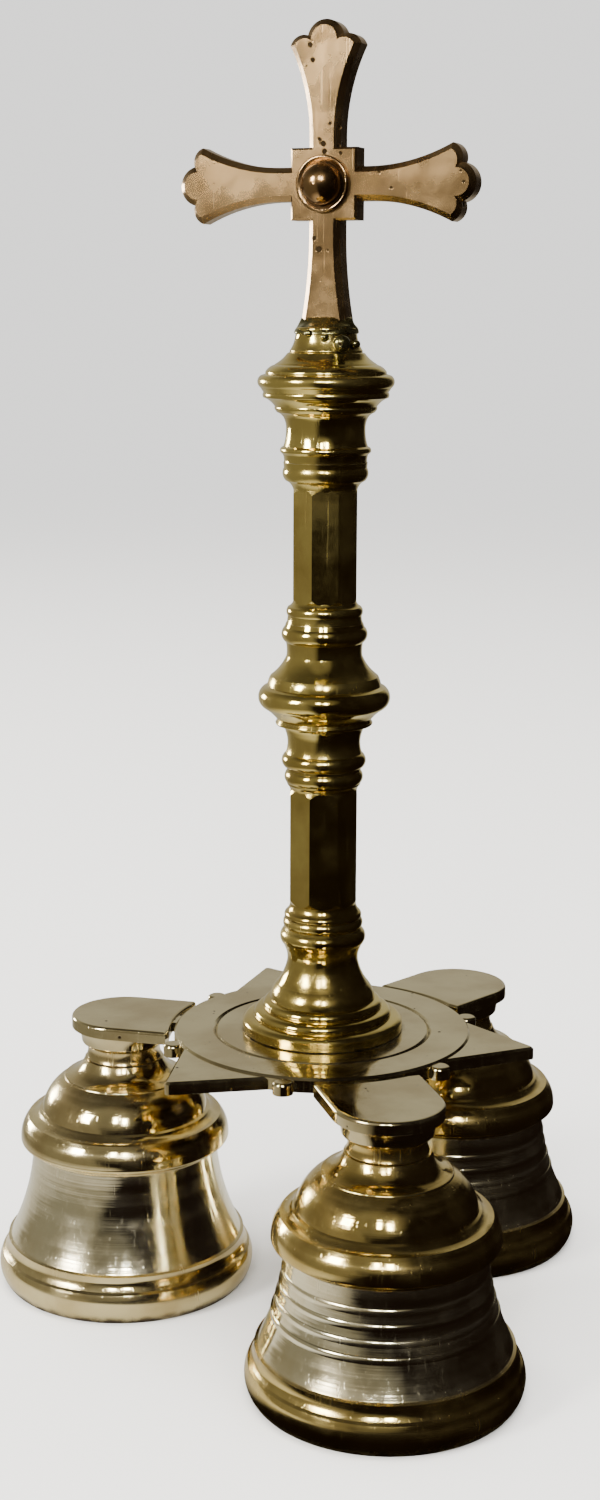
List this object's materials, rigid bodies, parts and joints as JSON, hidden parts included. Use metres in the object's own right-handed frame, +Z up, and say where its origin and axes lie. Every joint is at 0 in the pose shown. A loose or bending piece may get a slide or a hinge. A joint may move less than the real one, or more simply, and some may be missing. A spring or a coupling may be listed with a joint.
{
  "type": "sanctus bell",
  "caption": "Hand-held altar bell: mouth-down bells hang from the tongues of a small plate below a turned column with octagonal shafts and a lobed cross.",
  "frame": {"origin": "on the column's axis, level with the mouths of the bells that it stands on", "axes": "+Z up along the column; one bell hangs towards -Y"},
  "size_m": [0.128, 0.118, 0.2554],
  "materials": {
    "column_brass": "polished, slightly tarnished",
    "plate_brass": "polished, hazed",
    "bell_metal": "polished, with turning lines",
    "cross_bronze": "satin casting with small pits",
    "boss_bronze": "polished, darkened",
    "clapper_metal": "dull turned",
    "steel": "dull zinc"
  },
  "bodies": {
    "frame": {"base_plate": "plate_brass", "column_foot": "column_brass", "lower_shaft": "column_brass", "knop": "column_brass", "upper_shaft": "column_brass", "capital": "column_brass", "cross_pin": "column_brass", "cross": "cross_bronze", "boss_rivet": "boss_bronze", "tie_rod": "steel", "tie_washer": "steel", "tie_nut": "steel", "front_bell": "bell_metal", "front_collar": "column_brass", "front_eye_bolt": "steel", "front_hanger_washer": "steel", "front_hanger_nut": "steel", "right_bell": "bell_metal", "right_collar": "column_brass", "right_eye_bolt": "steel", "right_hanger_washer": "steel", "right_hanger_nut": "steel", "left_bell": "bell_metal", "left_collar": "column_brass", "left_eye_bolt": "steel", "left_hanger_washer": "steel", "left_hanger_nut": "steel"},
    "front_link": {"front_link": "steel"},
    "front_clapper": {"front_clapper": "clapper_metal"},
    "right_link": {"right_link": "steel"},
    "right_clapper": {"right_clapper": "clapper_metal"},
    "left_link": {"left_link": "steel"},
    "left_clapper": {"left_clapper": "clapper_metal"}
  },
  "joints": [
    {"name": "front_link_swing", "type": "hinge", "parent": "frame", "child": "front_link", "pos_m": [0, -0.0428, 0.034], "axis": [1, 0, 0], "range_deg": [-28, 28]},
    {"name": "front_clapper_swing", "type": "hinge", "parent": "front_link", "child": "front_clapper", "pos_m": [0, -0.0428, 0.0302], "axis": [0, -1, 0], "range_deg": [-28, 28]},
    {"name": "right_link_swing", "type": "hinge", "parent": "frame", "child": "right_link", "pos_m": [0.03707, 0.0214, 0.034], "axis": [-0.5, 0.866, 0], "range_deg": [-28, 28]},
    {"name": "right_clapper_swing", "type": "hinge", "parent": "right_link", "child": "right_clapper", "pos_m": [0.03707, 0.0214, 0.0302], "axis": [0.866, 0.5, 0], "range_deg": [-28, 28]},
    {"name": "left_link_swing", "type": "hinge", "parent": "frame", "child": "left_link", "pos_m": [-0.03707, 0.0214, 0.034], "axis": [-0.5, -0.866, 0], "range_deg": [-28, 28]},
    {"name": "left_clapper_swing", "type": "hinge", "parent": "left_link", "child": "left_clapper", "pos_m": [-0.03707, 0.0214, 0.0302], "axis": [-0.866, 0.5, 0], "range_deg": [-28, 28]}
  ]
}
